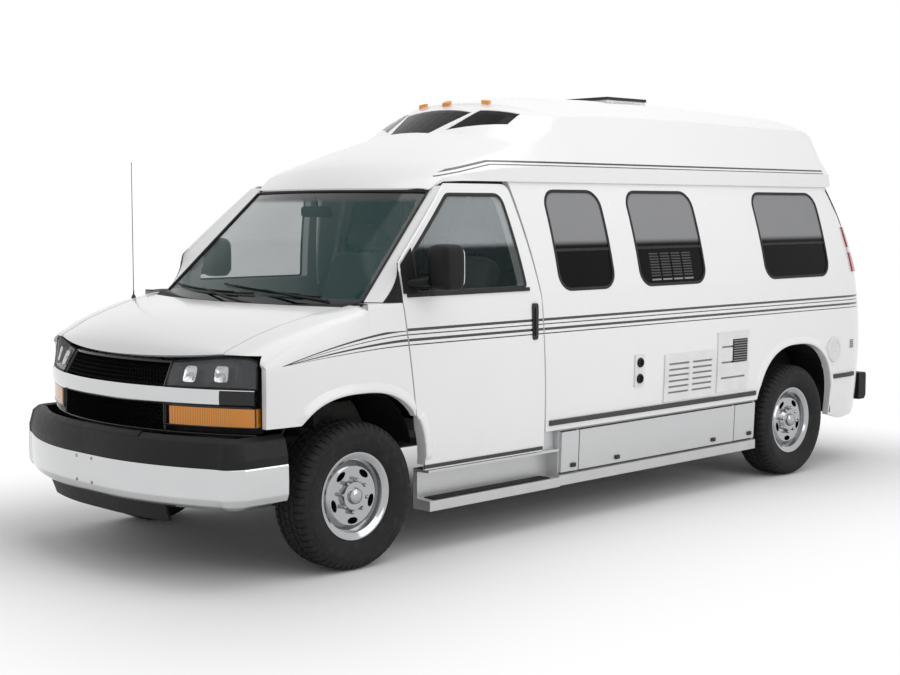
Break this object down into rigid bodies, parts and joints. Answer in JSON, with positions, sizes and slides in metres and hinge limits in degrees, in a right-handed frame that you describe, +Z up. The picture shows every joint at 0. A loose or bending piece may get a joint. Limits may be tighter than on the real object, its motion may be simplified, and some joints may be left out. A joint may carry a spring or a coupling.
{
  "type": "camper van",
  "caption": "White raised-roof camper van with a sloping hood, chrome bumper, silver side skirts and lockers, tinted side windows and opening doors, lids and hood.",
  "frame": {"origin": "ground point under the middle of the van's bounding box", "axes": "+X forward, +Y to the van's left, +Z up"},
  "size_m": [6.007, 2.364, 2.552],
  "materials": {
    "white_paint": "gloss",
    "silver_paint": "satin",
    "chrome": "polished",
    "black_plastic": "matte",
    "grey_plastic": "matte",
    "dark_glass": "tinted",
    "screen_glass": "clear",
    "lamp_glass": "clear",
    "amber": "gloss",
    "red_lens": "gloss",
    "frame_steel": "satin",
    "iron": "rough",
    "steel": "dull",
    "tyre": "matte",
    "cloth": "woven",
    "wood": "satin",
    "bare_floor": "satin",
    "vent_plastic": "gloss"
  },
  "bodies": {
    "body": {"chassis_frame": "frame_steel", "floor_pan": "bare_floor", "firewall": "bare_floor", "engine_block": "iron", "front_suspension": "frame_steel", "rear_axle": "frame_steel", "exhaust": "steel", "fuel_tank": "black_plastic", "front_fenders": "white_paint", "screen_pillars": "white_paint", "left_wall": "white_paint", "right_wall": "white_paint", "raised_roof": "white_paint", "cabin_windows": "dark_glass", "windscreen": "screen_glass", "front_panel": "black_plastic", "grille": "chrome", "headlamps": "lamp_glass", "amber_lamps": "amber", "front_bumper": "chrome", "bumper_trim": "grey_plastic", "rear_bumper": "grey_plastic", "tail_lamps": "red_lens", "side_skirts": "silver_paint", "cowl_panel": "black_plastic", "dashboard": "grey_plastic", "front_seats": "cloth", "cabinets": "wood", "wheel_houses": "black_plastic", "service_vents": "vent_plastic", "steering_wheel": "black_plastic"},
    "hood": {"hood": "white_paint"},
    "door_left": {"left_door": "white_paint", "left_door_glass": "dark_glass", "left_mirror": "black_plastic"},
    "door_right": {"right_door": "white_paint", "right_door_glass": "dark_glass", "right_mirror": "black_plastic"},
    "side_front": {"side_door_front": "white_paint", "side_glass_front": "dark_glass"},
    "side_rear": {"side_door_rear": "white_paint", "side_glass_rear": "dark_glass"},
    "rear_left": {"rear_door_left": "white_paint", "rear_glass_left": "dark_glass"},
    "rear_right": {"rear_door_right": "white_paint", "rear_glass_right": "dark_glass"},
    "locker_front": {"lid_front": "silver_paint"},
    "locker_main": {"lid_main": "silver_paint"},
    "locker_rear": {"lid_rear": "silver_paint"},
    "roof_vent": {"vent_lid": "black_plastic"},
    "steer_left": {"knuckle_left": "iron"},
    "steer_right": {"knuckle_right": "iron"},
    "wheel_fl": {"tyre_fl": "tyre", "rim_fl": "chrome"},
    "wheel_fr": {"tyre_fr": "tyre", "rim_fr": "chrome"},
    "wheel_rl": {"tyre_rl": "tyre", "rim_rl": "chrome"},
    "wheel_rr": {"tyre_rr": "tyre", "rim_rr": "chrome"}
  },
  "joints": [
    {"name": "hood_hinge", "type": "hinge", "parent": "body", "child": "hood", "pos_m": [2.0335, 0, 1.345], "axis": [0, -1, 0], "range_deg": [0, 50]},
    {"name": "door_left_hinge", "type": "hinge", "parent": "body", "child": "door_left", "pos_m": [1.7035, 1.009, 1], "axis": [0, 0.0349, -0.9994], "range_deg": [0, 68]},
    {"name": "door_right_hinge", "type": "hinge", "parent": "body", "child": "door_right", "pos_m": [1.7035, -1.009, 1], "axis": [0, 0.0349, 0.9994], "range_deg": [0, 68]},
    {"name": "side_front_hinge", "type": "hinge", "parent": "body", "child": "side_front", "pos_m": [0.6065, -1.009, 1], "axis": [0, 0.0349, 0.9994], "range_deg": [0, 90]},
    {"name": "side_rear_hinge", "type": "hinge", "parent": "body", "child": "side_rear", "pos_m": [-0.5545, -1.009, 1], "axis": [0, -0.0349, -0.9994], "range_deg": [0, 150]},
    {"name": "rear_left_hinge", "type": "hinge", "parent": "body", "child": "rear_left", "pos_m": [-2.8465, 0.858, 0.85], "axis": [-0.0958, 0, -0.9954], "range_deg": [0, 165]},
    {"name": "rear_right_hinge", "type": "hinge", "parent": "body", "child": "rear_right", "pos_m": [-2.8465, -0.858, 0.85], "axis": [0.0958, 0, 0.9954], "range_deg": [0, 165]},
    {"name": "locker_front_hinge", "type": "hinge", "parent": "body", "child": "locker_front", "pos_m": [0.4135, 0.982, 0.542], "axis": [1, 0, 0], "range_deg": [0, 95]},
    {"name": "locker_main_hinge", "type": "hinge", "parent": "body", "child": "locker_main", "pos_m": [-0.4395, 0.982, 0.542], "axis": [1, 0, 0], "range_deg": [0, 95]},
    {"name": "locker_rear_hinge", "type": "hinge", "parent": "body", "child": "locker_rear", "pos_m": [-1.3295, 0.982, 0.542], "axis": [1, 0, 0], "range_deg": [0, 95]},
    {"name": "roof_vent_hinge", "type": "hinge", "parent": "body", "child": "roof_vent", "pos_m": [-1.2575, 0, 2.547], "axis": [0, -1, 0], "range_deg": [0, 60]},
    {"name": "steer_left_pivot", "type": "hinge", "parent": "body", "child": "steer_left", "pos_m": [2.0335, 0.8, 0.376], "axis": [0, 0, 1], "range_deg": [-35, 35]},
    {"name": "steer_right_pivot", "type": "hinge", "parent": "body", "child": "steer_right", "pos_m": [2.0335, -0.8, 0.376], "axis": [0, 0, 1], "range_deg": [-35, 35]},
    {"name": "wheel_fl_spin", "type": "hinge", "parent": "steer_left", "child": "wheel_fl", "pos_m": [2.0335, 0.868, 0.376], "axis": [0, 1, 0], "continuous": true},
    {"name": "wheel_fr_spin", "type": "hinge", "parent": "steer_right", "child": "wheel_fr", "pos_m": [2.0335, -0.868, 0.376], "axis": [0, 1, 0], "continuous": true},
    {"name": "wheel_rl_spin", "type": "hinge", "parent": "body", "child": "wheel_rl", "pos_m": [-1.9035, 0.868, 0.376], "axis": [0, 1, 0], "continuous": true},
    {"name": "wheel_rr_spin", "type": "hinge", "parent": "body", "child": "wheel_rr", "pos_m": [-1.9035, -0.868, 0.376], "axis": [0, 1, 0], "continuous": true}
  ],
  "couplings": [
    {"joint": "steer_right_pivot", "follows": "steer_left_pivot", "ratio": 1}
  ]
}
